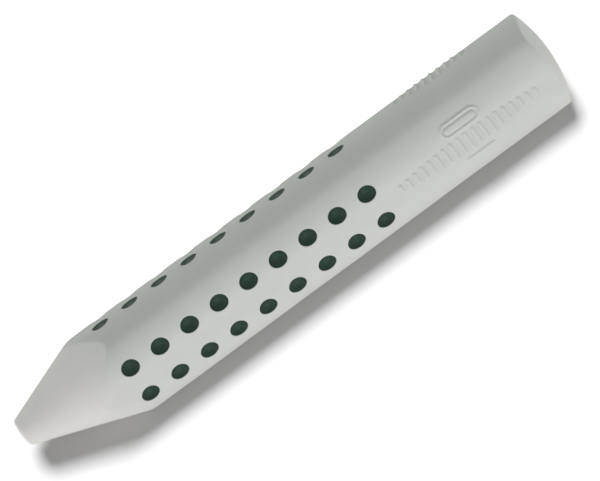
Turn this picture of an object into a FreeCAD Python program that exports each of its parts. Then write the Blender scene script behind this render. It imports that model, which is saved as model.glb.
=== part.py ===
import FreeCAD, Part
import math, os

# Three-sided drawing eraser stick with a blunt conical tip and six rows of round
# grip dots, in two pieces: a core with 54 short studs, and an outer body that
# surrounds the core and leaves each stud's dished end showing in a round hole.
#
# Frame: X runs along the stick, tip towards -X. One of the three faces lies on
# Z = 0. Origin: centre of the footprint's length and width. Millimetres.
# Every distance along the stick is counted from the tip.

Vector = FreeCAD.Vector

# ---- outer body ------------------------------------------------------------
LENGTH = 90.5            # tip to domed end
FACE_R = 6.375           # centre line to the middle of each face
CORNER_R = 8.22          # centre line to the crest of each rounded corner
FLAT_HALF = 1.66         # half width of the flat strip along each face
SHOULDER_R = 8.60        # radius of the shoulders beside the flat strip

TIP_R = 2.06             # radius of the tip's rim, before it is rounded
TIP_RIM_X = 0.26         # distance of that rim behind the crown
TIP_ROUND = 0.30         # rounding of the rim
CONE_SLOPE = 0.3660      # cone radius gained per millimetre of length
# points on the crown, as fractions of TIP_RIM_X and TIP_R
CROWN_MID = (0.16, 0.42)     # the crown's arc passes through this one
CROWN_AIM = (0.25, 0.5)      # the rim's rounding is set out towards this one

END_DOME_R = 20.0        # radius of the domed end
END_EDGE = 0.45          # rounding between the dome and the faces
END_ZONE = 3.0           # length at the end that holds the edges to round
END_EDGE_SPAN = 1.2      # those edges extend less than this along the stick

ENVELOPE_MARGIN = 3.0    # turned envelope's radius beyond the corner crests
BAR_EXCESS = 2.0         # bar's length beyond the domed end, before trimming

# ---- studs and holes -------------------------------------------------------
N_COL = 9                # studs per row
PITCH = 5.05             # spacing of the studs along the stick
FIRST_COL = 18.10        # tip to the first ring of studs
ROW_OFFSET = 2.88        # each face has a row this far to either side of its middle
HOLE_R = 1.360           # holes in the outer body
STUD_R = 1.345           # studs of the core
STUD_SINK = 0.06         # studs' ends below the outer surface, following its curve
STUD_ROOT = 3.9          # depth below the surface where studs and holes start
STUD_EXCESS = 1.0        # their length above the surface, before trimming
DISH_R = 1.275           # mouth radius of the dish in each stud's end
DISH_DEPTH = 0.72        # depth of that dish

# ---- core ------------------------------------------------------------------
CORE_FACE_R = 3.00       # centre line to the core's faces
CORE_EDGE = 1.20         # rounding of the core's long edges
CORE_MARGIN = 3.10       # core reaches this far past the first and last ring of studs
BOND_GAP = 0.015         # clearance between core bar and outer body

# Face directions: angle from +Z towards -Y
FRONT, BACK, DOWN = math.radians(60), math.radians(-60), math.radians(180)
THIRD_TURN = math.radians(120)
HALF_CORNER = math.radians(60)   # face direction to corner crest

# ---- raised marks ----------------------------------------------------------
MARK_H = 0.17            # height of the marks
RIB_W = 0.40             # width of each rib
RIB_PITCH = 1.2667       # spacing of the ribs
RIB_X_FRONT = 74.18      # tip to the middle of the front face's ribs
# face, tip to middle rib, number of ribs, middle rib's length, outermost ribs' length
RIB_ROWS = (
    (FRONT, RIB_X_FRONT, 19, 3.30, 1.50),
    (BACK, 75.13, 11, 6.20, 2.60),
)
RIB_ROOT = 0.30          # depth below the flat strip where ribs start
SLOT_ROOT = 0.60         # depth below the shoulder where the other marks start

LOOP_X = RIB_X_FRONT + 0.4   # tip to the middle of the oval loop above the front ribs
LOOP_L = 6.40            # its length,
LOOP_W = 2.40            # width across the face,
LOOP_LINE = 0.36         # thickness of its line,
LOOP_OFFSET = -3.40      # and distance from the middle of the face (up is negative)
LOOP_BLANK_H = 0.6       # loop's height before its top is curved
LOOP_CUT_H = 0.8         # height of the tool that opens the loop
PAD_L = 5.00             # small pad inside the loop: length,
PAD_W = 1.00             # and width across the face
BAR_X = RIB_X_FRONT + 0.6    # tip to the middle of the short bar below the front ribs
BAR_L = 4.60             # its length,
BAR_W = 0.50             # width,
BAR_OFFSET = 2.85        # and distance from the middle of the face

# ---- derived ---------------------------------------------------------------
TIP_X = -LENGTH / 2.0
END_X = TIP_X + LENGTH
AXIS_Z = FACE_R          # height of the centre line above the resting face
ALONG = Vector(1, 0, 0)


def corner_arc():
    """Corner arc's radius and the shoulder arc's sweep, with both arcs tangent.

    The corner arc's centre lies on the crest line, SHOULDER_R minus its own
    radius away from the shoulder arc's centre.
    """
    centre_height = FACE_R - SHOULDER_R
    crest_side, crest_up = math.sin(HALF_CORNER), math.cos(HALF_CORNER)
    spare = SHOULDER_R - CORNER_R
    reach = ((FLAT_HALF ** 2 + centre_height ** 2 - spare ** 2)
             / (2 * (crest_side * FLAT_HALF + crest_up * centre_height + spare)))
    sweep = math.atan2(reach * crest_side - FLAT_HALF, reach * crest_up - centre_height)
    return CORNER_R - reach, sweep


SHOULDER_SWEEP = corner_arc()[1]


# ---- places on the stick ---------------------------------------------------
def outward(angle):
    return Vector(0, -math.sin(angle), math.cos(angle))


def across(angle):
    return Vector(0, -math.cos(angle), -math.sin(angle))


def at(x, face, lateral, height):
    """Point at x from the tip, lateral across a face, height from the centre line."""
    return Vector(TIP_X + x, 0, AXIS_Z) + outward(face) * height + across(face) * lateral


def on_shoulder(x, face, side, angle, depth=0.0):
    """Point on a shoulder arc, at an angle from its flat strip, sunk by depth."""
    radius = SHOULDER_R - depth
    return at(x, face, side * (FLAT_HALF + radius * math.sin(angle)),
              FACE_R - SHOULDER_R + radius * math.cos(angle))


def shoulder_angle(offset):
    """Angle on the shoulder arc at this distance from the middle of the face."""
    return math.asin((abs(offset) - FLAT_HALF) / SHOULDER_R)


# ---- shared shapes ---------------------------------------------------------
def arc(start, middle, end):
    return Part.Arc(start, middle, end).toShape()


def prism(edges, length):
    """Closed outline drawn out along the stick."""
    face = Part.Face(Part.Wire(Part.__sortEdges__(edges)))
    return face.extrude(ALONG * length)


def outer_bar(inset, length):
    """Bar of the stick's section: three flats, six shoulders, three corners."""
    edges = []
    for face in (FRONT, DOWN, BACK):
        def spot(side, angle):
            return on_shoulder(0, face, side, angle, inset)
        next_start = on_shoulder(0, face + THIRD_TURN, -1, SHOULDER_SWEEP, inset)
        crest = at(0, face + HALF_CORNER, 0, CORNER_R - inset)
        half_sweep = SHOULDER_SWEEP / 2
        edges += [
            arc(spot(-1, SHOULDER_SWEEP), spot(-1, half_sweep), spot(-1, 0)),
            Part.makeLine(spot(-1, 0), spot(1, 0)),
            arc(spot(1, 0), spot(1, half_sweep), spot(1, SHOULDER_SWEEP)),
            arc(spot(1, SHOULDER_SWEEP), crest, next_start),
        ]
    return prism(edges, length)


def core_bar(grow):
    """Rounded three-sided bar, grown by the stated amount on every side."""
    face_r = CORE_FACE_R + grow
    edge_r = CORE_EDGE + grow
    half = (face_r - edge_r) * math.sqrt(3.0)
    crest = 2.0 * (face_r - edge_r) + edge_r
    margin = CORE_MARGIN + grow
    start = FIRST_COL - margin
    edges = []
    for face in (FRONT, DOWN, BACK):
        flat_end = at(start, face, half, face_r)
        edges.append(Part.makeLine(at(start, face, -half, face_r), flat_end))
        edges.append(arc(flat_end, at(start, face + HALF_CORNER, 0, crest),
                         at(start, face + THIRD_TURN, -half, face_r)))
    return prism(edges, (N_COL - 1) * PITCH + 2 * margin)


def round_ended(middle, long_way, short_way, length, width, rise):
    """Round-ended bar standing on its middle point, drawn out by the rise vector."""
    radius = width / 2.0
    half = length / 2.0 - radius
    to_centre, to_end = long_way * half, long_way * (half + radius)
    to_side = short_way * radius
    a, b = middle - to_centre - to_side, middle + to_centre - to_side
    c, d = middle + to_centre + to_side, middle - to_centre + to_side
    outline = Part.Wire([
        Part.makeLine(a, b),
        arc(b, middle + to_end, c),
        Part.makeLine(c, d),
        arc(d, middle - to_end, a),
    ])
    return Part.Face(outline).extrude(rise)


def whole(shape):
    """The bare solid where there is only one."""
    return shape.Solids[0] if len(shape.Solids) == 1 else shape


# ---- outer body ------------------------------------------------------------
def round_corner(before, corner, after, radius):
    """Arc of the given radius at a corner, and the point where it ends."""
    back = (before - corner).normalize()
    ahead = (after - corner).normalize()
    half = math.acos(back.dot(ahead)) / 2.0
    run = radius / math.tan(half)
    inward = (back + ahead).normalize()
    centre = corner + inward * (radius / math.sin(half))
    return corner + back * run, centre - inward * radius, corner + ahead * run


def envelope():
    """Turned shape that the bar is cut back to: crown, cone, domed end."""
    def profile(x, radius):
        return Vector(TIP_X + x, 0, AXIS_Z + radius)

    def crown_point(fractions):
        return profile(TIP_RIM_X * fractions[0], TIP_R * fractions[1])

    def dome_point(radius):
        sag = END_DOME_R - math.sqrt(END_DOME_R ** 2 - radius ** 2)
        return Vector(END_X - sag, 0, AXIS_Z + radius)

    radius = CORNER_R + ENVELOPE_MARGIN
    crown = profile(0, 0)
    rim = profile(TIP_RIM_X, TIP_R)
    cone_end = profile(TIP_RIM_X + (radius - TIP_R) / CONE_SLOPE, radius)
    rim_start, rim_mid, rim_end = round_corner(
        crown_point(CROWN_AIM), rim, cone_end, TIP_ROUND)
    outline = Part.Wire([
        arc(crown, crown_point(CROWN_MID), rim_start),
        arc(rim_start, rim_mid, rim_end),
        Part.makeLine(rim_end, cone_end),
        Part.makeLine(cone_end, dome_point(radius)),
        arc(dome_point(radius), dome_point(radius / 2.0), dome_point(0)),
        Part.makeLine(dome_point(0), crown),
    ])
    return Part.Face(outline).revolve(crown, ALONG, 360.0)


def is_dome(face):
    box = face.BoundBox
    return abs(box.XMax - END_X) < 1e-3 and box.XMin > END_X - END_ZONE


def is_end_edge(body, edge):
    """True for the edges between the dome and the long faces."""
    box = edge.BoundBox
    if box.XMin <= END_X - END_ZONE or box.XMax - box.XMin >= END_EDGE_SPAN:
        return False
    faces = body.ancestorsOfType(edge, Part.Face)
    return len(faces) == 2 and any(is_dome(face) for face in faces)


def stick_blank():
    """Solid stick, with neither marks nor holes."""
    body = outer_bar(0.0, LENGTH + BAR_EXCESS).common(envelope())
    end_edges = [edge for edge in body.Edges if is_end_edge(body, edge)]
    # The fillet can fail on the dome's nearly tangent edges; they then stay sharp.
    try:
        rounded = body.makeFillet(END_EDGE, end_edges)
        if rounded.isValid() and rounded.Volume > 0:
            body = rounded
    except Exception as error:
        print("end rounding left off:", error)
    return body.Solids[0]


def rib(x, face, length):
    """Raised rib standing across a face's middle."""
    return round_ended(at(x, face, 0, FACE_R - RIB_ROOT), across(face), ALONG,
                       length, RIB_W, outward(face) * (RIB_ROOT + MARK_H))


def front_slot(x, offset, length, width, height):
    """Round-ended bar along the stick, square to a shoulder of the front face."""
    side = 1 if offset > 0 else -1
    angle = shoulder_angle(offset)
    tilted = FRONT + side * angle
    return round_ended(on_shoulder(x, FRONT, side, angle, SLOT_ROOT), ALONG, across(tilted),
                       length, width, outward(tilted) * (SLOT_ROOT + height))


def loop():
    """Oval loop, its top following the shoulder's curve."""
    ring = front_slot(LOOP_X, LOOP_OFFSET, LOOP_L, LOOP_W, LOOP_BLANK_H).cut(
        front_slot(LOOP_X, LOOP_OFFSET, LOOP_L - 2 * LOOP_LINE, LOOP_W - 2 * LOOP_LINE,
                   LOOP_CUT_H))
    # the loop lies on the shoulder at the negative side of the front face
    centre = at(LOOP_X - LOOP_L, FRONT, -FLAT_HALF, FACE_R - SHOULDER_R)
    return ring.common(Part.makeCylinder(SHOULDER_R + MARK_H, 2 * LOOP_L, centre, ALONG))


def raised_marks():
    marks = []
    limit = outer_bar(-MARK_H, LENGTH)
    for face, middle_x, count, longest, shortest in RIB_ROWS:
        half = (count - 1) / 2.0
        for i in range(count):
            taper = math.cos((i - half) / half * math.pi / 2.0)
            length = shortest + (longest - shortest) * taper
            marks.append(rib(middle_x + (i - half) * RIB_PITCH, face, length).common(limit))
    marks.append(loop())
    marks.append(front_slot(LOOP_X, LOOP_OFFSET, PAD_L, PAD_W, MARK_H))
    marks.append(front_slot(BAR_X, BAR_OFFSET, BAR_L, BAR_W, MARK_H))
    return marks


def outer_body():
    body = stick_blank().fuse(raised_marks()).removeSplitter()
    body = body.cut(core_bar(BOND_GAP))
    return whole(body.cut(pegs(HOLE_R)))


# ---- studs and core --------------------------------------------------------
def stud_places():
    """Face, side, and distance from the tip of every stud."""
    return [(face, side, FIRST_COL + i * PITCH)
            for face in (FRONT, BACK, DOWN) for side in (-1, 1) for i in range(N_COL)]


def pegs(radius):
    """Cylinders at every stud, square to the shoulders."""
    angle = shoulder_angle(ROW_OFFSET)
    return Part.makeCompound([
        Part.makeCylinder(radius, STUD_ROOT + STUD_EXCESS,
                          on_shoulder(x, face, side, angle, STUD_ROOT),
                          outward(face + side * angle))
        for face, side, x in stud_places()])


def dishes():
    """Spheres that hollow the studs' ends."""
    angle = shoulder_angle(ROW_OFFSET)
    radius = (DISH_R ** 2 + DISH_DEPTH ** 2) / (2 * DISH_DEPTH)
    depth = STUD_SINK + DISH_DEPTH - radius
    return Part.makeCompound([
        Part.makeSphere(radius, on_shoulder(x, face, side, angle, depth))
        for face, side, x in stud_places()])


def grip_core():
    studs = pegs(STUD_R).common(outer_bar(STUD_SINK, LENGTH)).cut(dishes())
    return whole(core_bar(0.0).fuse(studs.Solids).removeSplitter())


os.makedirs("parts", exist_ok=True)
outer_body().exportStep("parts/outer_body.step")
grip_core().exportStep("parts/grip_core.step")
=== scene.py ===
"""A three-sided eraser stick with a conical tip and a domed butt.

Each long face has two rows of round holes, through which the dished studs of a dark green
core show; the front and back faces carry raised marks near the butt. The stick rests on one
face along +X, tip at the low end. The front face looks towards -Y and up, the back face
towards +Y and up.

Sizes are in millimetres; meshes are scaled to metres when they are made. Terms used throughout:
  x       distance along the stick from the tip
  across  distance sideways from the middle of a face
  out     distance outward from the centre line, square to the face
  arc     distance from the middle of a face, measured round the section
"""
import math
from typing import NamedTuple

import bmesh
import bpy
import numpy as np
from mathutils import Matrix, Vector


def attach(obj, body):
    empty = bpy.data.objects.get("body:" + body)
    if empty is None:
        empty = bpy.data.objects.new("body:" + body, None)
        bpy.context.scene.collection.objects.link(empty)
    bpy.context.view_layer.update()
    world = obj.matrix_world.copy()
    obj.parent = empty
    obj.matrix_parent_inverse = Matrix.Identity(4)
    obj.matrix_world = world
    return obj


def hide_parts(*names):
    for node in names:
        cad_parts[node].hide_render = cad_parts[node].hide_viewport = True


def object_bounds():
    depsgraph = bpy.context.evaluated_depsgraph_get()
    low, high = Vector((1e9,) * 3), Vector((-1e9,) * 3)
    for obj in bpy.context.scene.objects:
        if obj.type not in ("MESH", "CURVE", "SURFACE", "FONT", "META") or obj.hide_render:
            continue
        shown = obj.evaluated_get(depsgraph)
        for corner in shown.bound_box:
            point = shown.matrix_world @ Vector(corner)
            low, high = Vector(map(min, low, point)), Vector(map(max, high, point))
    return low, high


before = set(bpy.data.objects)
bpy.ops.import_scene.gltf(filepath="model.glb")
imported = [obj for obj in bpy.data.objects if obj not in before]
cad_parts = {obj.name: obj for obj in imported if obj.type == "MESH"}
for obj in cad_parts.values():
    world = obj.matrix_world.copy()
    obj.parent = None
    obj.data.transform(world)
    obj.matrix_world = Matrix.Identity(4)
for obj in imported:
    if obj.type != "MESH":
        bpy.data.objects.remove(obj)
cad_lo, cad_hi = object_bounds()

# ---------------------------------------------------------------- sizes
TIP_WORLD_X = cad_lo.x * 1000.0
LENGTH = (cad_hi.x - cad_lo.x) * 1000.0
CREST = 8.22                               # centre line to a corner's crest
FACE_OUT = cad_hi.z * 1000.0 - CREST       # centre line to a face
CENTRE_Z = FACE_OUT                        # the stick rests on a face
FLAT_HALF = 1.66                           # half width of the flat strip along each face
SHOULDER_R = 8.60                          # gentle curve between flat strip and corner

TIP_R = 2.06
TIP_RIM_X = 0.26                           # height of the crown on the tip
CROWN_R = 1.70                             # where the crown turns into the rounded rim
RIM_END_X = TIP_RIM_X + 0.32
CONE_SLOPE = 0.366
CONE_SOFTNESS = 0.07                       # how softly the cone runs into the bar
DOME_R = 20.0
BUTT_EDGE_R = 0.42

COLUMNS, PITCH, FIRST_HOLE_X = 9, 5.05, 18.10
ROW_ACROSS = 2.88                          # middle of a face to a row of holes
HOLE_R, HOLE_EDGE_R = 1.360, 0.05
STUD_R, STUD_SINK = 1.345, 0.06
DISH_R, DISH_DEPTH = 1.275, 0.72
CORE_OUT, CORE_EDGE_R = 3.00, 1.20         # centre line to a core face, its corner radius
CORE_FLAT_HALF = (CORE_OUT - CORE_EDGE_R) * math.sqrt(3.0)
CORE_END_EDGE_R = 0.25
CORE_MARGIN = 3.10                         # core beyond the first and last hole
GAP = 0.015                                # between core and cavity
CORE_START_X = FIRST_HOLE_X - CORE_MARGIN
CORE_END_X = FIRST_HOLE_X + (COLUMNS - 1) * PITCH + CORE_MARGIN

MARK_HEIGHT, RIB_WIDTH = 0.17, 0.40
RIB_X, RIB_PITCH = 74.18, 1.2667           # middle of the front ribs

FACE_ANGLES = np.radians([60.0, 180.0, 300.0])     # from +Z towards -Y
FRONT, DOWN, BACK = FACES = (0, 1, 2)


# ---------------------------------------------------------------- the section
def bisect(is_low, low, high):
    for _ in range(80):
        middle = 0.5 * (low + high)
        if is_low(middle):
            low = middle
        else:
            high = middle
    return 0.5 * (low + high)


def corner_centre(corner_r, turn):
    """Centre (across, out) of a corner arc that meets the shoulder after the given turn."""
    reach = SHOULDER_R - corner_r
    return (FLAT_HALF + reach * math.sin(turn),
            FACE_OUT - SHOULDER_R + reach * math.cos(turn))


def shoulder_turn(corner_r):
    """How far the shoulder turns before a corner arc centred on the corner's bisector."""
    def gap(turn):
        across, out = corner_centre(corner_r, turn)
        return across - math.sqrt(3.0) * out
    return bisect(lambda turn: gap(turn) * gap(0.0) > 0, 0.0, math.radians(59.99))


def reaches_past_crest(corner_r):
    return math.hypot(*corner_centre(corner_r, shoulder_turn(corner_r))) + corner_r > CREST


CORNER_R = bisect(reaches_past_crest, 0.8, 4.6)
SHOULDER_TURN = shoulder_turn(CORNER_R)
CORNER_ACROSS, CORNER_OUT = corner_centre(CORNER_R, SHOULDER_TURN)
SHOULDER_END = FLAT_HALF + SHOULDER_R * SHOULDER_TURN
FACE_HALF_ARC = SHOULDER_END + CORNER_R * (math.pi / 3.0 - SHOULDER_TURN)


def outline(arc, inset=0.0):
    """Arc -> across, out, and the turn of the surface normal."""
    arc = np.asarray(arc, float)
    length, sign = np.abs(arc), np.where(arc < 0, -1.0, 1.0)
    flat, shoulder = length <= FLAT_HALF, length <= SHOULDER_END
    shoulder_r, corner_r = SHOULDER_R - inset, CORNER_R - inset
    turn = np.where(flat, 0.0, np.where(shoulder, (length - FLAT_HALF) / SHOULDER_R,
                                        SHOULDER_TURN + (length - SHOULDER_END) / CORNER_R))
    across = np.where(flat, length, np.where(shoulder, FLAT_HALF + shoulder_r * np.sin(turn),
                                             CORNER_ACROSS + corner_r * np.sin(turn)))
    out = np.where(flat, FACE_OUT - inset,
                   np.where(shoulder, FACE_OUT - SHOULDER_R + shoulder_r * np.cos(turn),
                            CORNER_OUT + corner_r * np.cos(turn)))
    return sign * across, out, sign * turn


def surface(x, arc):
    """Outer surface: the bar, cut back to the cone near the tip with a soft edge."""
    across, out, turn = outline(arc)
    bar_r = np.hypot(across, out)
    cone_r = TIP_R + (x - TIP_RIM_X) * CONE_SLOPE
    radius = 0.5 * (bar_r + cone_r - np.sqrt((bar_r - cone_r) ** 2 + CONE_SOFTNESS ** 2))
    scale = radius / bar_r
    return across * scale, out * scale, turn


def stick_points(x, y, z):
    """Points from x along the stick and y, z from the centre line."""
    x, y, z = np.broadcast_arrays(x, y, z)
    return np.stack([TIP_WORLD_X + x, y, CENTRE_Z + z], -1)


def place(face, x, across, out):
    angle = FACE_ANGLES[face]
    return stick_points(x, -np.sin(angle) * out - np.cos(angle) * across,
                        np.cos(angle) * out - np.sin(angle) * across)


def on_surface(face, x, arc):
    return place(face, x, *surface(x, arc)[:2])


def cone_x(arc):
    """Where the cone meets the bar, for each place round the section."""
    across, out, _ = outline(arc)
    return TIP_RIM_X + (np.hypot(across, out) - TIP_R) / CONE_SLOPE


def crown_x(radius):
    return TIP_RIM_X * (radius / TIP_R) ** 2


def dome_x(radius):
    return LENGTH - (DOME_R - np.sqrt(DOME_R ** 2 - radius ** 2))


def directions(ring):
    """Unit y and z away from the centre line, and distance from it."""
    offset = (ring[:, 1:] - (0.0, CENTRE_Z)).T
    radius = np.hypot(*offset)
    return (*(offset / radius), radius)


# ---------------------------------------------------------------- mesh building
class Patchwork:
    """Quads gathered from patches that are joined where their points coincide."""

    def __init__(self):
        self.points, self.quads, self.count = [], [], 0

    def add(self, points, quads):
        self.points.append(np.asarray(points, float).reshape(-1, 3))
        self.quads.append(np.asarray(quads, np.int64).reshape(-1, 4) + self.count)
        self.count += len(self.points[-1])

    def grid(self, points, wrap=False):
        rows, width = points.shape[:2]
        row = np.arange(rows - 1)[:, None]
        column = np.arange(width if wrap else width - 1)[None, :]
        here = row * width + column
        beside = row * width + (column + 1) % width
        self.add(points, np.stack([here, beside, beside + width, here + width], -1))

    def rings(self, rows):
        self.grid(np.array(rows), wrap=True)

    def cap(self, loop, lift):
        """Fills a loop of 4*n flat points with n by n quads; lift turns them into 3D points."""
        n = len(loop) // 4
        border = np.zeros((n + 1, n + 1, 2))
        for i in range(n + 1):
            border[i, 0] = loop[i]
            border[n, i] = loop[n + i]
            border[n - i, n] = loop[2 * n + i]
            border[0, n - i] = loop[(3 * n + i) % (4 * n)]
        u = np.linspace(0, 1, n + 1)[:, None, None]
        v = np.linspace(0, 1, n + 1)[None, :, None]
        edges = ((1 - u) * border[0][None] + u * border[n][None]
                 + (1 - v) * border[:, 0][:, None] + v * border[:, n][:, None])
        corners = ((1 - u) * (1 - v) * border[0, 0] + u * (1 - v) * border[n, 0]
                   + (1 - u) * v * border[0, n] + u * v * border[n, n])
        flat = edges - corners
        for _ in range(60):      # even out the cells
            flat[1:-1, 1:-1] = 0.25 * (flat[:-2, 1:-1] + flat[2:, 1:-1]
                                       + flat[1:-1, :-2] + flat[1:-1, 2:])
        self.grid(lift(flat))

    def end_cap(self, ring, x_at):
        """Closes a ring round the stick; x_at gives x for a distance from the centre line."""
        def lift(flat):
            radius = np.hypot(flat[..., :1], flat[..., 1:] - CENTRE_Z)
            return np.concatenate([TIP_WORLD_X + x_at(radius), flat], -1)
        self.cap(ring[:, 1:], lift)

    def thirds(self, coarse, fine, middle):
        """One row of cells that joins k coarse cells to 3k fine ones, all quads."""
        cells = len(coarse) - 1
        quads = []
        for i in range(cells):
            f = cells + 1 + 3 * i
            m = 4 * cells + 2 + 3 * i + 1
            quads += [(i, f, f + 1, m), (m, f + 1, f + 2, m + 1),
                      (m + 1, f + 2, f + 3, i + 1), (i, m, m + 1, i + 1)]
        self.add(np.concatenate([coarse, fine, middle]), quads)


def uneven(points):
    """A slow bow and shallow hollows, a few hundredths of a millimetre deep."""
    x = points[:, 0] - TIP_WORLD_X
    y, z = points[:, 1], points[:, 2] - CENTRE_Z
    radius = np.maximum(np.hypot(y, z), 1e-6)
    angle = np.arctan2(y, z)
    height = (0.010 * np.sin(x * 0.231 + 1.1 + 1.3 * np.cos(angle + 0.4))
              + 0.007 * np.sin(x * 0.52 + 2.0 * np.sin(angle) + 2.0)
              + 0.005 * np.sin(x * 1.13 + 3.0 * np.cos(angle) + 0.7)) - 0.022
    scale = 1.0 + height * np.clip(radius / 6.0, 0, 1) / radius    # fades out inside 6 mm
    return np.stack([points[:, 0], y * scale, z * scale + CENTRE_Z], -1)


def to_object(patch, name, material):
    points = np.concatenate(patch.points)
    quads = np.concatenate(patch.quads)
    mesh = bpy.data.meshes.new(name)
    mesh.vertices.add(len(points))
    mesh.vertices.foreach_set("co", (points / 1000.0).astype(np.float32).ravel())
    mesh.loops.add(len(quads) * 4)
    mesh.loops.foreach_set("vertex_index", quads.astype(np.int32).ravel())
    mesh.polygons.add(len(quads))
    mesh.polygons.foreach_set("loop_start", np.arange(0, len(quads) * 4, 4, dtype=np.int32))
    mesh.update(calc_edges=True)

    bm = bmesh.new()
    bm.from_mesh(mesh)
    bmesh.ops.remove_doubles(bm, verts=bm.verts, dist=1.5e-6)
    bmesh.ops.recalc_face_normals(bm, faces=bm.faces)
    if bm.calc_volume() < 0:
        bmesh.ops.reverse_faces(bm, faces=bm.faces)
    bm.to_mesh(mesh)
    bm.free()

    joined = np.empty(len(mesh.vertices) * 3, np.float32)
    mesh.vertices.foreach_get("co", joined)
    joined = joined.reshape(-1, 3).astype(float) * 1000.0
    mesh.vertices.foreach_set("co", (uneven(joined) / 1000.0).astype(np.float32).ravel())
    mesh.polygons.foreach_set("use_smooth", np.ones(len(mesh.polygons), bool))
    mesh.update()
    obj = bpy.data.objects.new(name, mesh)
    bpy.context.scene.collection.objects.link(obj)
    mesh.materials.append(material)
    return obj


# ---------------------------------------------------------------- shared grid lines
def arc_at(across):
    arcs = np.linspace(0.5, 5.0, 20001)
    return float(np.interp(across, outline(arcs)[0], arcs))


def face_arcs(middle, strip, edge):
    """Grid lines over a whole face, from the lines of its middle and one side."""
    return np.concatenate([-edge[::-1][:-1], -strip[::-1][:-1], middle[:-1], strip[:-1], edge])


ROW_ARC = arc_at(ROW_ACROSS)
STRIP_IN, STRIP_OUT = ROW_ARC - 1.90, ROW_ARC + 1.90     # strip that holds a row of holes
CORNER_CELLS = 8
MIDDLE_ARC = np.linspace(-STRIP_IN, STRIP_IN, 5)
STRIP_ARC = np.linspace(STRIP_IN, STRIP_OUT, 11)
CORNER_ARC = STRIP_OUT + (FACE_HALF_ARC - STRIP_OUT) * np.linspace(0, 1, CORNER_CELLS + 1)
FACE_ARC = face_arcs(MIDDLE_ARC, STRIP_ARC, CORNER_ARC)
RING_FACE = np.repeat(FACES, 40)
RING_ARC = np.tile(FACE_ARC[:-1], 3)

HOLE_LINES = FIRST_HOLE_X - PITCH / 2.0 + np.arange(COLUMNS * 10 + 1) * (PITCH / 10.0)
ZONE_START, ZONE_END = HOLE_LINES[0], HOLE_LINES[-1]

# the marked zone has eight fine cells to a rib, and a joining row at each end
MARK_LINES = np.concatenate([[ZONE_END + 0.40], RIB_X + RIB_PITCH / 8.0 * np.arange(-78, 80)])
MARK_END = MARK_LINES[-1] + 0.40


def zone_start(arc):
    """Where the hole zone begins; pushed back at the corners, where the cone runs further."""
    extra = np.maximum(cone_x(arc) - float(cone_x(STRIP_OUT)), 0.0)
    return ZONE_START + extra * (np.abs(arc) > STRIP_OUT)


# ---------------------------------------------------------------- holes
class HoleAxis:
    """Frame of the holes on one side of a face: sideways and height from the axis's foot."""

    def __init__(self, side):
        self.side = side
        self.across, self.out, tilt = (float(v) for v in outline(side * ROW_ARC))
        self.cos, self.sin = math.cos(tilt), math.sin(tilt)
        self.arcs = side * ROW_ARC + np.linspace(-2.2, 2.2, 4401)
        across, out, _ = outline(self.arcs)
        across, out = across - self.across, out - self.out
        self.sideways = across * self.cos - out * self.sin
        self.heights = across * self.sin + out * self.cos

    def arc(self, sideways):
        return np.interp(sideways, self.sideways, self.arcs)

    def height(self, sideways):
        """Height of the outer surface."""
        return np.interp(sideways, self.sideways, self.heights)


class Hole(NamedTuple):
    face: int
    axis: HoleAxis
    x: float
    lines: np.ndarray     # the 11 grid lines across its cell

    def point(self, x, sideways, height):
        axis = self.axis
        return place(self.face, x, axis.across + axis.cos * sideways + axis.sin * height,
                     axis.out - axis.sin * sideways + axis.cos * height)

    def square(self, strip):
        """x and arc round the hole's 10 by 10 cells, corner to corner."""
        x, arc = self.lines, (strip if self.axis.side > 0 else -strip[::-1])
        return (np.concatenate([x[:10], np.full(10, x[10]), x[10:0:-1], np.full(10, x[0])]),
                np.concatenate([np.full(10, arc[0]), arc[:10], np.full(10, arc[10]),
                                arc[10:0:-1]]))


HOLE_AXES = [HoleAxis(side) for side in (-1, 1)]
HOLES = [Hole(face, axis, FIRST_HOLE_X + PITCH * i, HOLE_LINES[10 * i:10 * i + 11])
         for face in FACES for axis in HOLE_AXES for i in range(COLUMNS)]


def circle(radius):
    angle = np.radians(-135.0 + 9.0 * np.arange(40))
    return radius * np.cos(angle), radius * np.sin(angle)


# ---------------------------------------------------------------- core bar and cavity
def on_core(face, x, arc, grow, inset=0.0):
    """Point on the core bar, grown all round by grow and cut back by inset."""
    edge_r = CORE_EDGE_R + grow
    length, sign = np.abs(arc), np.where(arc < 0, -1.0, 1.0)
    turn = np.clip((length - CORE_FLAT_HALF) / edge_r, 0, None)
    across = np.minimum(length, CORE_FLAT_HALF) + (edge_r - inset) * np.sin(turn)
    out = CORE_OUT - CORE_EDGE_R + (edge_r - inset) * np.cos(turn)
    return place(face, x, sign * across, out)


def core_hit(axis, sideways, grow):
    """Where a line parallel to a hole's axis reaches the core bar: height, and arc on the bar."""
    edge_r = CORE_EDGE_R + grow
    edge_out = CORE_OUT - CORE_EDGE_R
    start_across = axis.across + axis.cos * sideways
    start_out = axis.out - axis.sin * sideways
    flat_height = (CORE_OUT + grow - start_out) / axis.cos
    flat_across = start_across + axis.sin * flat_height
    # the same line against the round edge
    from_across = start_across - np.sign(flat_across) * CORE_FLAT_HALF
    from_out = start_out - edge_out
    along = from_across * axis.sin + from_out * axis.cos
    root = along * along - (from_across ** 2 + from_out ** 2 - edge_r * edge_r)
    edge_height = -along + np.sqrt(np.maximum(root, 0.0))
    flat = np.abs(flat_across) <= CORE_FLAT_HALF
    height = np.where(flat, flat_height, edge_height)
    across, out = start_across + axis.sin * height, start_out + axis.cos * height
    turn = np.arctan2(np.abs(across) - CORE_FLAT_HALF, out - edge_out)
    return height, np.where(flat, across, np.sign(across) * (CORE_FLAT_HALF + edge_r * turn))


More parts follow.
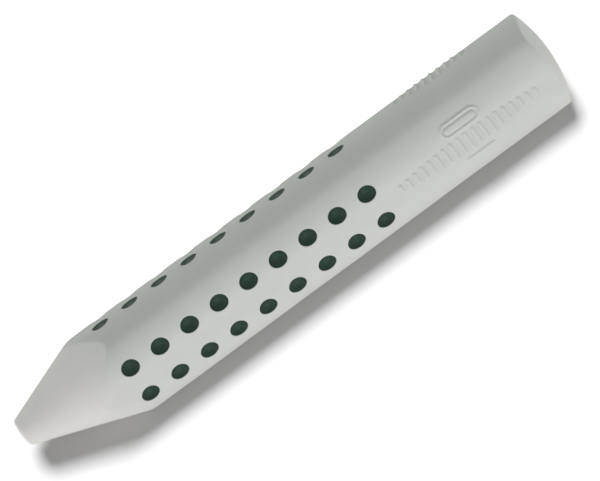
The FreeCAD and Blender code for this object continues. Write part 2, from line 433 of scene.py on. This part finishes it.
def add_core_surface(patch, grow, radius):
    """The core bar and its two ends, left open at each stud.

    Returns x, sideways and height of the opening for each of HOLES.
    """
    half_arc = CORE_FLAT_HALF + (CORE_EDGE_R + grow) * math.pi / 3.0
    strip_in, strip_out = 0.45, 4.05
    middle = np.linspace(-strip_in, strip_in, 3)
    strip = np.linspace(strip_in, strip_out, 11)
    edge = np.linspace(strip_out, half_arc, 2)
    openings = []
    for face in FACES:
        for arc in (middle, edge, -edge):
            patch.grid(on_core(face, HOLE_LINES[:, None], arc[None], grow))
        for hole in HOLES:
            if hole.face != face:
                continue
            square_x, square_arc = hole.square(strip)
            dx, sideways = circle(radius)
            x = hole.x + dx
            height, arc = core_hit(hole.axis, sideways, grow)
            patch.rings([on_core(face, x * (1 - k) + square_x * k,
                                 arc * (1 - k) + square_arc * k, grow)
                         for k in (0.0, 0.35, 1.0)])
            openings.append((x, sideways, height))

    ring_face = np.repeat(FACES, 24)
    ring_arc = np.tile(face_arcs(middle, strip, edge)[:-1], 3)
    for end_x, inner_x, sign in ((CORE_START_X - grow, ZONE_START, 1.0),
                                 (CORE_END_X + grow, ZONE_END, -1.0)):
        rows = [on_core(ring_face, inner_x, ring_arc, grow)]
        for bend in np.radians([0, 22.5, 45, 67.5, 90]):
            rows.append(on_core(ring_face, end_x + sign * CORE_END_EDGE_R * (1 - math.sin(bend)),
                                ring_arc, grow, CORE_END_EDGE_R * (1 - math.cos(bend))))
        last = rows[-1]
        centre = np.array([last[0, 0], 0.0, CENTRE_Z])
        rows += [centre + (last - centre) * k for k in (0.86, 0.7)]
        patch.rings(rows)
        patch.end_cap(rows[-1], lambda r: np.full_like(r, end_x))
    return openings


# ---------------------------------------------------------------- raised marks
# face: number of ribs, x of the middle one, longest rib, shortest rib
RIBS = {FRONT: (19, RIB_X, 3.30, 1.50),
        BACK: (11, RIB_X + 0.75 * RIB_PITCH, 6.20, 2.60)}
# a bar inside a long loop, on the front face above the ribs
LOOP_X, LOOP_ARC, LOOP_HALF = RIB_X + 0.4, -arc_at(3.40), 2.0
LOOP_R, LOOP_STROKE, LOOP_BAR_R = 1.2, 0.18, 0.50
# a thin bar on the front face below the ribs
BAR_X, BAR_ARC, BAR_HALF, BAR_R = RIB_X + 0.6, arc_at(2.85), 2.05, 0.25


def stroke(dx, d_arc, half_x, half_arc):
    """Distance from a straight stroke's centre line, given half lengths along x and arc."""
    return np.hypot(np.maximum(np.abs(dx) - half_x, 0.0),
                    np.maximum(np.abs(d_arc) - half_arc, 0.0))


def mark_height(face, x, arc):
    distance = np.full(np.broadcast(x, arc).shape, 9.0)
    count, middle_x, longest, shortest = RIBS[face]
    half = (count - 1) / 2.0
    for i in range(count):
        length = shortest + (longest - shortest) * math.cos((i - half) / half * math.pi / 2.0)
        rib = stroke(x - (middle_x + (i - half) * RIB_PITCH), arc, 0.0,
                     (length - RIB_WIDTH) / 2.0)
        distance = np.minimum(distance, rib - RIB_WIDTH / 2.0)
    if face == FRONT:
        loop = stroke(x - LOOP_X, arc - LOOP_ARC, LOOP_HALF, 0.0)
        bar = stroke(x - BAR_X, arc - BAR_ARC, BAR_HALF, 0.0)
        for shape in (np.abs(loop - (LOOP_R - LOOP_STROKE)) - LOOP_STROKE,
                      loop - LOOP_BAR_R, bar - BAR_R):
            distance = np.minimum(distance, shape)
    rise = np.clip((0.07 - distance) / 0.17, 0.0, 1.0)     # sides slope over 0.17
    return MARK_HEIGHT * rise * rise * (3 - 2 * rise)


# ---------------------------------------------------------------- outer body
def add_tip(patch):
    """Crown, rounded rim and cone, and the bar as far as the hole zone."""
    # the rim is a curve whose control point is where the crown's and cone's tangents cross
    start_x = crown_x(CROWN_R)
    crown_slope = 2 * TIP_RIM_X * CROWN_R / TIP_R ** 2
    cross_x = ((start_x + crown_slope * (TIP_R - TIP_RIM_X * CONE_SLOPE - CROWN_R))
               / (1 - crown_slope * CONE_SLOPE))
    start, control, end = (np.array([start_x, CROWN_R]),
                           np.array([cross_x, TIP_R + (cross_x - TIP_RIM_X) * CONE_SLOPE]),
                           np.array([RIM_END_X, TIP_R + (RIM_END_X - TIP_RIM_X) * CONE_SLOPE]))
    k = np.linspace(0, 1, 9)[:-1, None]
    rim = (1 - k) ** 2 * start + 2 * k * (1 - k) * control + k ** 2 * end
    crown_r = np.array([0.80, 1.05, 1.30, 1.52])
    profile = np.concatenate([np.stack([crown_x(crown_r), crown_r], -1), rim])
    y, z, _ = directions(place(RING_FACE, 0.0, *outline(RING_ARC)[:2]))
    rows = [stick_points(x, radius * y, radius * z) for x, radius in profile]

    # rows crowd towards the line where cone and bar meet; the nearest cells are 0.10 and 0.08
    meet, begin = cone_x(RING_ARC), zone_start(RING_ARC)
    cone_rows, bar_rows = 28, 9
    cone, bar = meet - RIM_END_X, begin - meet
    power = np.maximum(np.log(cone / 0.10) / np.log(cone_rows), 1.0)
    for i in range(cone_rows):
        rows.append(on_surface(RING_FACE, meet - cone * (1 - i / cone_rows) ** power, RING_ARC))
    power = np.maximum(np.log(bar / 0.08) / np.log(bar_rows), 1.0)
    for i in range(bar_rows + 1):
        rows.append(on_surface(RING_FACE, meet + bar * (i / bar_rows) ** power, RING_ARC))
    patch.rings(rows)
    patch.end_cap(rows[0], crown_x)


def add_plain_strips(patch):
    """The middles and corners of the hole zone."""
    for face in FACES:
        patch.grid(on_surface(face, HOLE_LINES[:, None], MIDDLE_ARC[None]))
        for arc in (CORNER_ARC, -CORNER_ARC):
            x = np.repeat(HOLE_LINES[:, None], len(arc), 1)
            k = np.linspace(0, 1, 11)[:, None]
            x[:11] = zone_start(arc)[None] * (1 - k) + HOLE_LINES[10] * k
            patch.grid(on_surface(face, x, arc[None]))


def add_hole(patch, hole, opening):
    """The surface round a hole, its rounded edge, and its wall down to the cavity."""
    axis = hole.axis

    def edge_ring(radius):
        dx, sideways = circle(radius)
        return hole.x + dx, axis.arc(sideways)

    square_x, square_arc = hole.square(STRIP_ARC)
    edge_x, edge_arc = edge_ring(HOLE_R + HOLE_EDGE_R)
    rows = [on_surface(hole.face, edge_x * (1 - k) + square_x * k,
                       edge_arc * (1 - k) + square_arc * k)
            for k in (1.0, 0.72, 0.46, 0.25, 0.10)]
    for bend in np.radians([0, 18, 36, 54, 72, 90]):
        depth = HOLE_EDGE_R * (1 - math.cos(bend))
        x, arc = edge_ring(HOLE_R + HOLE_EDGE_R * (1 - math.sin(bend)))
        across, out, _ = surface(x, arc)
        rows.append(place(hole.face, x, across - axis.sin * depth, out - axis.cos * depth))
    top, bottom = rows[-1], hole.point(*opening)
    rows += [top * (1 - k) + bottom * k for k in (0.3, 0.65, 1.0)]
    patch.rings(rows)


def add_marked_zone(patch):
    """From the holes to the butt, with fine cells where the marks stand."""
    plain = np.concatenate([[ZONE_END], MARK_LINES, [MARK_END]])
    coarse = FACE_ARC[CORNER_CELLS:-CORNER_CELLS]
    fine = np.interp(np.arange(3 * 24 + 1) / 3.0, np.arange(25), coarse)
    for face in FACES:
        for arc in [CORNER_ARC, -CORNER_ARC] + ([coarse] if face == DOWN else []):
            patch.grid(on_surface(face, plain[:, None], arc[None]))
        if face == DOWN:
            continue
        x, arc = MARK_LINES[:, None], fine[None]
        across, out, turn = surface(x, arc)
        height = mark_height(face, x, arc)
        patch.grid(place(face, x, across + np.sin(turn) * height, out + np.cos(turn) * height))
        for coarse_x, middle_x, fine_x in ((ZONE_END, ZONE_END + 0.2, MARK_LINES[0]),
                                           (MARK_END, MARK_END - 0.2, MARK_LINES[-1])):
            patch.thirds(on_surface(face, coarse_x, coarse), on_surface(face, fine_x, fine),
                         on_surface(face, middle_x, fine))


def add_butt(patch):
    """Rounded edge, then the dome."""
    # settle where the rounding touches the dome; slant is the sine of the dome's angle there
    slant = np.zeros(len(RING_ARC))
    for _ in range(4):
        across, out, _ = outline(RING_ARC, BUTT_EDGE_R * (1 - slant))
        touch_r = np.hypot(across, out)
        slant = touch_r / DOME_R
    edge_x = dome_x(touch_r) - BUTT_EDGE_R * np.sqrt(1 - slant ** 2)
    rows = [on_surface(RING_FACE, MARK_END * (1 - k) + edge_x * k, RING_ARC)
            for k in np.linspace(0, 1, 6)]
    for k in np.linspace(0, 1, 8)[1:]:
        bend = np.arccos(slant) * k
        across, out, _ = outline(RING_ARC, BUTT_EDGE_R * (1 - np.cos(bend)))
        rows.append(place(RING_FACE, edge_x + BUTT_EDGE_R * np.sin(bend), across, out))
    # the rings grow round as they shrink
    y, z, last_r = directions(rows[-1])
    for k in (0.965, 0.92, 0.86, 0.78, 0.69, 0.6, 0.51, 0.43, 0.35):
        roundness = (1 - k) / 0.65
        radius = last_r * k * (1 - roundness) + last_r.mean() * k * roundness
        rows.append(stick_points(dome_x(radius), y * radius, z * radius))
    patch.rings(rows)
    patch.end_cap(rows[-1], dome_x)


def build_body(material):
    patch = Patchwork()
    add_tip(patch)
    add_plain_strips(patch)
    openings = add_core_surface(patch, GAP, HOLE_R)
    for hole, opening in zip(HOLES, openings):
        add_hole(patch, hole, opening)
    add_marked_zone(patch)
    add_butt(patch)
    return to_object(patch, "eraser_body", material)


# ---------------------------------------------------------------- grip core
# rounded lip of a stud: radius, depth below the outer surface
STUD_LIP = ((1.339, 0.115), (1.325, 0.083), (1.305, 0.066),
            (1.283, 0.062), (1.263, 0.072), (1.247, 0.094))
STUD_WALL_DEPTH = 0.16
LIP_INNER_R = STUD_LIP[-1][0]
DISH_RINGS = (1.225, 1.16, 1.06, 0.91, 0.72, 0.52)
DISH_BALL_R = (DISH_R ** 2 + DISH_DEPTH ** 2) / (2 * DISH_DEPTH)


def dish_points(hole, dx, sideways):
    """Spherical dish, whose rim follows the outer surface."""
    radius = np.hypot(dx, sideways)
    depth = STUD_SINK + np.sqrt(DISH_BALL_R ** 2 - radius ** 2) - (DISH_BALL_R - DISH_DEPTH)
    height = hole.axis.height(sideways) * (radius / LIP_INNER_R) ** 2 - depth
    return hole.point(hole.x + dx, sideways, height)


def add_stud(patch, hole, opening):
    x, sideways, foot = opening
    top = hole.axis.height(sideways) - STUD_WALL_DEPTH
    rows = [hole.point(x, sideways, foot * (1 - k) + top * k) for k in (0.0, 0.35, 0.7, 1.0)]
    for radius, depth in STUD_LIP:
        dx, sideways = circle(radius)
        rows.append(hole.point(hole.x + dx, sideways, hole.axis.height(sideways) - depth))
    rows += [dish_points(hole, *circle(radius)) for radius in DISH_RINGS]
    patch.rings(rows)
    patch.cap(np.stack(circle(DISH_RINGS[-1]), -1),
              lambda flat: dish_points(hole, flat[..., 0], flat[..., 1]))


def build_core(material):
    patch = Patchwork()
    openings = add_core_surface(patch, 0.0, STUD_R)
    for hole, opening in zip(HOLES, openings):
        add_stud(patch, hole, opening)
    return to_object(patch, "grip_dots_core", material)


# ---------------------------------------------------------------- materials
class Shader:
    """A material with one surface node; an input is given a value or an output to link."""

    def __init__(self, name, surface_kind):
        self.material = bpy.data.materials.new(name)
        self.material.use_nodes = True
        self.tree = self.material.node_tree
        self.tree.nodes.clear()
        output = self.node("ShaderNodeOutputMaterial")
        self.surface = self.node(surface_kind)
        self.fill(output, {0: self.surface.outputs[0]})

    def node(self, kind, inputs=None, **settings):
        made = self.tree.nodes.new(kind)
        for key, value in settings.items():
            setattr(made, key, value)
        self.fill(made, inputs or {})
        return made

    def fill(self, node, inputs):
        for key, value in inputs.items():
            if isinstance(value, bpy.types.NodeSocket):
                self.tree.links.new(value, node.inputs[key])
            else:
                node.inputs[key].default_value = value

    def millimetres(self):
        """Object coordinates in millimetres, used by every noise."""
        coords = self.node("ShaderNodeTexCoord").outputs["Object"]
        self.coords = self.node("ShaderNodeVectorMath", {"Scale": 1000.0, 0: coords},
                                operation="SCALE").outputs[0]
        return self.coords

    def noise(self, scale, detail, roughness=0.5):
        return self.node("ShaderNodeTexNoise", {
            "Scale": scale, "Detail": detail, "Roughness": roughness,
            "Vector": self.coords}).outputs["Fac"]

    def ramp(self, value, start, end, low=0.0, high=1.0):
        return self.node("ShaderNodeMapRange", {
            "From Min": start, "From Max": end, "To Min": low, "To Max": high,
            "Value": value}).outputs[0]

    def mix(self, factor, first, second):
        return self.node("ShaderNodeMix", {0: factor, 6: first, 7: second},
                         data_type="RGBA").outputs[2]

    def bump(self, strength, distance, height, **normal):
        return self.node("ShaderNodeBump", {"Strength": strength, "Distance": distance,
                                            "Height": height, **normal}).outputs[0]


def eraser_material():
    """Pale grey compound with soft clouds and fine specks."""
    shader = Shader("eraser_compound", "ShaderNodeBsdfPrincipled")
    coords = shader.millimetres()
    cloud = shader.ramp(shader.noise(scale=0.11, detail=3.0, roughness=0.55), 0.32, 0.68)
    colour = shader.mix(cloud, (0.560, 0.566, 0.538, 1), (0.592, 0.596, 0.570, 1))
    speck = shader.ramp(shader.noise(scale=5.5, detail=2.0, roughness=0.6), 0.30, 0.72)
    speckled = shader.mix(speck, (0.545, 0.552, 0.524, 1), (0.610, 0.612, 0.586, 1))
    colour = shader.mix(0.35, colour, speckled)
    # a little warmer towards the tip, and lighter there: the lift is painted light standing in
    # for the light the cone catches
    along = shader.node("ShaderNodeSeparateXYZ", {0: coords}).outputs["X"]
    tip = shader.ramp(along, start=TIP_WORLD_X + 17.0, end=TIP_WORLD_X + 9.0)
    tip_warmth_and_painted_light = shader.mix(speck, (0.620, 0.605, 0.575, 1), (0.648, 0.634, 0.604, 1))
    colour = shader.mix(tip, colour, tip_warmth_and_painted_light)
    # faint darker smudges
    smudge = shader.ramp(shader.noise(scale=0.45, detail=5.0, roughness=0.62),
                         0.60, 0.78, low=0.0, high=0.10)
    colour = shader.mix(smudge, colour, (0.46, 0.46, 0.44, 1))
    roughness = shader.ramp(shader.noise(scale=1.3, detail=3.0, roughness=0.6),
                            0.3, 0.7, low=0.52, high=0.66)
    grain = shader.noise(scale=9.0, detail=3.0, roughness=0.65)
    swell = shader.noise(scale=1.1, detail=3.0)
    soft = shader.bump(strength=0.25, distance=0.00006, height=swell)
    shader.fill(shader.surface, {
        "Base Color": colour,
        "Roughness": roughness,
        "Specular IOR Level": 0.42,
        "Subsurface Weight": 0.12,
        "Subsurface Radius": (1.0, 0.95, 0.85),
        "Subsurface Scale": 0.0006,
        "Sheen Weight": 0.08,
        "Sheen Roughness": 0.5,
        "Normal": shader.bump(strength=0.30, distance=0.00002, height=grain, Normal=soft),
    })
    return shader.material


def core_material():
    """Dark green, mottled in colour and gloss."""
    shader = Shader("dark_green_elastomer", "ShaderNodeBsdfPrincipled")
    shader.millimetres()
    mottle = shader.noise(scale=2.2, detail=4.0)
    colour = shader.node("ShaderNodeValToRGB", {0: mottle})
    dark, light = colour.color_ramp.elements
    dark.position, dark.color = 0.30, (0.027, 0.053, 0.038, 1)
    light.position, light.color = 0.72, (0.045, 0.076, 0.056, 1)
    roughness = shader.ramp(mottle, 0.3, 0.7, low=0.42, high=0.58)
    grain = shader.noise(scale=11.0, detail=3.0)
    shader.fill(shader.surface, {
        "Base Color": colour.outputs[0],
        "Roughness": roughness,
        "Specular IOR Level": 0.40,
        "Normal": shader.bump(strength=0.35, distance=0.00002, height=grain),
    })
    return shader.material


def floor_material():
    """White to look at, but it throws less light back up."""
    shader = Shader("pale_floor", "ShaderNodeBsdfDiffuse")
    seen = shader.node("ShaderNodeLightPath").outputs["Is Camera Ray"]
    tone = shader.mix(seen, (0.45, 0.455, 0.45, 1), (0.90, 0.90, 0.90, 1))
    shader.fill(shader.surface, {"Color": tone})
    return shader.material


body = build_body(eraser_material())
core = build_core(core_material())
for piece, node in ((body, "outer_body"), (core, "grip_core")):
    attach(piece, "root")
    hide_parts(node)


# ---------------------------------------------------------------- floor
def build_floor():
    """A flat sheet, 1.8 m square."""
    mesh = bpy.data.meshes.new("floor_sheet")
    cells = 24
    row = cells + 1
    lines = np.linspace(-0.9, 0.9, row)
    points = [(x, y, 0.0) for x in lines for y in lines]
    quads = [(i * row + j, (i + 1) * row + j, (i + 1) * row + j + 1, i * row + j + 1)
             for i in range(cells) for j in range(cells)]
    mesh.from_pydata(points, [], quads)
    obj = bpy.data.objects.new("floor_sheet", mesh)
    bpy.context.scene.collection.objects.link(obj)
    mesh.materials.append(floor_material())
    return obj


ground = build_floor()

# ---------------------------------------------------------------- view and world
scene = bpy.context.scene
scene.view_settings.view_transform = "Standard"
scene.view_settings.look = "None"
scene.view_settings.exposure = 0.0
scene.view_settings.gamma = 1.0

world = bpy.data.worlds.new("studio")
scene.world = world
world.use_nodes = True
background = world.node_tree.nodes["Background"]
background.inputs["Color"].default_value = (1.0, 1.0, 1.0, 1)
background.inputs["Strength"].default_value = 0.25


# ---------------------------------------------------------------- lights
def collection(name, *objects):
    made = bpy.data.collections.new(name)
    for obj in objects:
        made.objects.link(obj)
    return made


on_floor = collection("lit_floor", ground)
on_object = collection("lit_object", body, core)
on_body = collection("lit_body", body)
on_core = collection("lit_core", core)


def sun(name, direction, angle, colour, receivers, blockers=None):
    """One far light; colour carries its strength. Only the receivers are lit by it."""
    strength = max(colour)
    data = bpy.data.lights.new(name, "SUN")
    data.energy = strength
    data.angle = math.radians(angle)
    data.color = [c / strength for c in colour]
    obj = bpy.data.objects.new(name, data)
    scene.collection.objects.link(obj)
    obj.rotation_mode = "QUATERNION"
    obj.rotation_quaternion = Vector(direction).to_track_quat("-Z", "Y")
    obj.light_linking.receiver_collection = receivers
    if blockers:
        obj.light_linking.blocker_collection = blockers


def from_side(around, tilt):
    """Direction of light from an angle round the stick (+Z towards -Y), tilted to the tip."""
    around, tilt = math.radians(around), math.radians(tilt)
    return (math.sin(tilt), math.sin(around) * math.cos(tilt),
            -math.cos(around) * math.cos(tilt))


# overhead softbox that throws the soft shadow on the sheet
sun("sheet_light", direction=(-0.10, -0.462, -1.0), angle=28.0, colour=(3.60, 3.60, 3.60),
    receivers=on_floor)
# even light from the whole room above
sun("room", direction=(0.0, 0.0, -1.0), angle=178.0, colour=(0.33, 0.55, 0.43),
    receivers=on_object)

# name, degrees round the stick, tilt to the tip, angular size, colour with strength, receivers
SIDE_SUNS = (
    # three bands of a front softbox, which fade out along the upper rounded edge
    ("front_low", 105, 0, 12.0, (0.67, 0.71, 0.77), on_body),
    ("front_mid", 91.5, 0, 16.0, (0.74, 0.65, 0.67), on_body),
    ("front_high", 60, 0, 30.0, (0.14, 0.11, 0.08), on_body),
    # fill from beyond the tip, which lifts the cone
    ("tip_behind", -40, 70, 60.0, (0.95, 0.76, 0.80), on_body),
    ("tip_front", 30, 75, 70.0, (0.49, 0.46, 0.55), on_body),
    ("tip_end", 10, 82, 60.0, (0.72, 0.65, 0.73), on_object),
    # a trace from behind, and one for the butt
    ("behind", -85, 0, 30.0, (0.04, 0.07, 0.04), on_body),
    ("butt_end", 40, -88, 40.0, (1.12, 1.01, 1.05), on_body),
    # light on the dishes, from above and behind and from the front
    ("dish_light", -60, 0, 60.0, (1.45, 1.40, 1.35), on_core),
    ("dish_front", 95, 0, 40.0, (0.46, 0.84, 0.68), on_core),
)
for name, around, tilt, angle, colour, receivers in SIDE_SUNS:
    sun(name, from_side(around, tilt), angle, colour, receivers, blockers=on_object)

# ---------------------------------------------------------------- camera
# long lens, looking down on the front face
VIEW_AXES = np.array([[0.80495501, -0.54318137, -0.23874972],      # picture's right
                      [-0.59252118, -0.75697958, -0.27550056],     # picture's down
                      [-0.03108189, 0.36322983, -0.93118098]])     # ahead
# from the camera to the centre line at the first hole, along those axes
TARGET_OFFSET = np.array([-24.166380, 16.080963, 1155.430773])
eye = -VIEW_AXES.T @ TARGET_OFFSET + np.array([TIP_WORLD_X + FIRST_HOLE_X, 0.0, CENTRE_Z])

camera_data = bpy.data.cameras.new("camera")
camera_data.sensor_width = 36.0
camera_data.lens = 500.434907
camera_data.shift_x, camera_data.shift_y = -0.00035, 0.000466667     # of the frame's width
camera = bpy.data.objects.new("camera", camera_data)
scene.collection.objects.link(camera)
pose = np.eye(4)
pose[:3, :3] = (VIEW_AXES * [[1], [-1], [-1]]).T
pose[:3, 3] = eye / 1000.0
camera.matrix_world = Matrix(pose.tolist())
scene.camera = camera
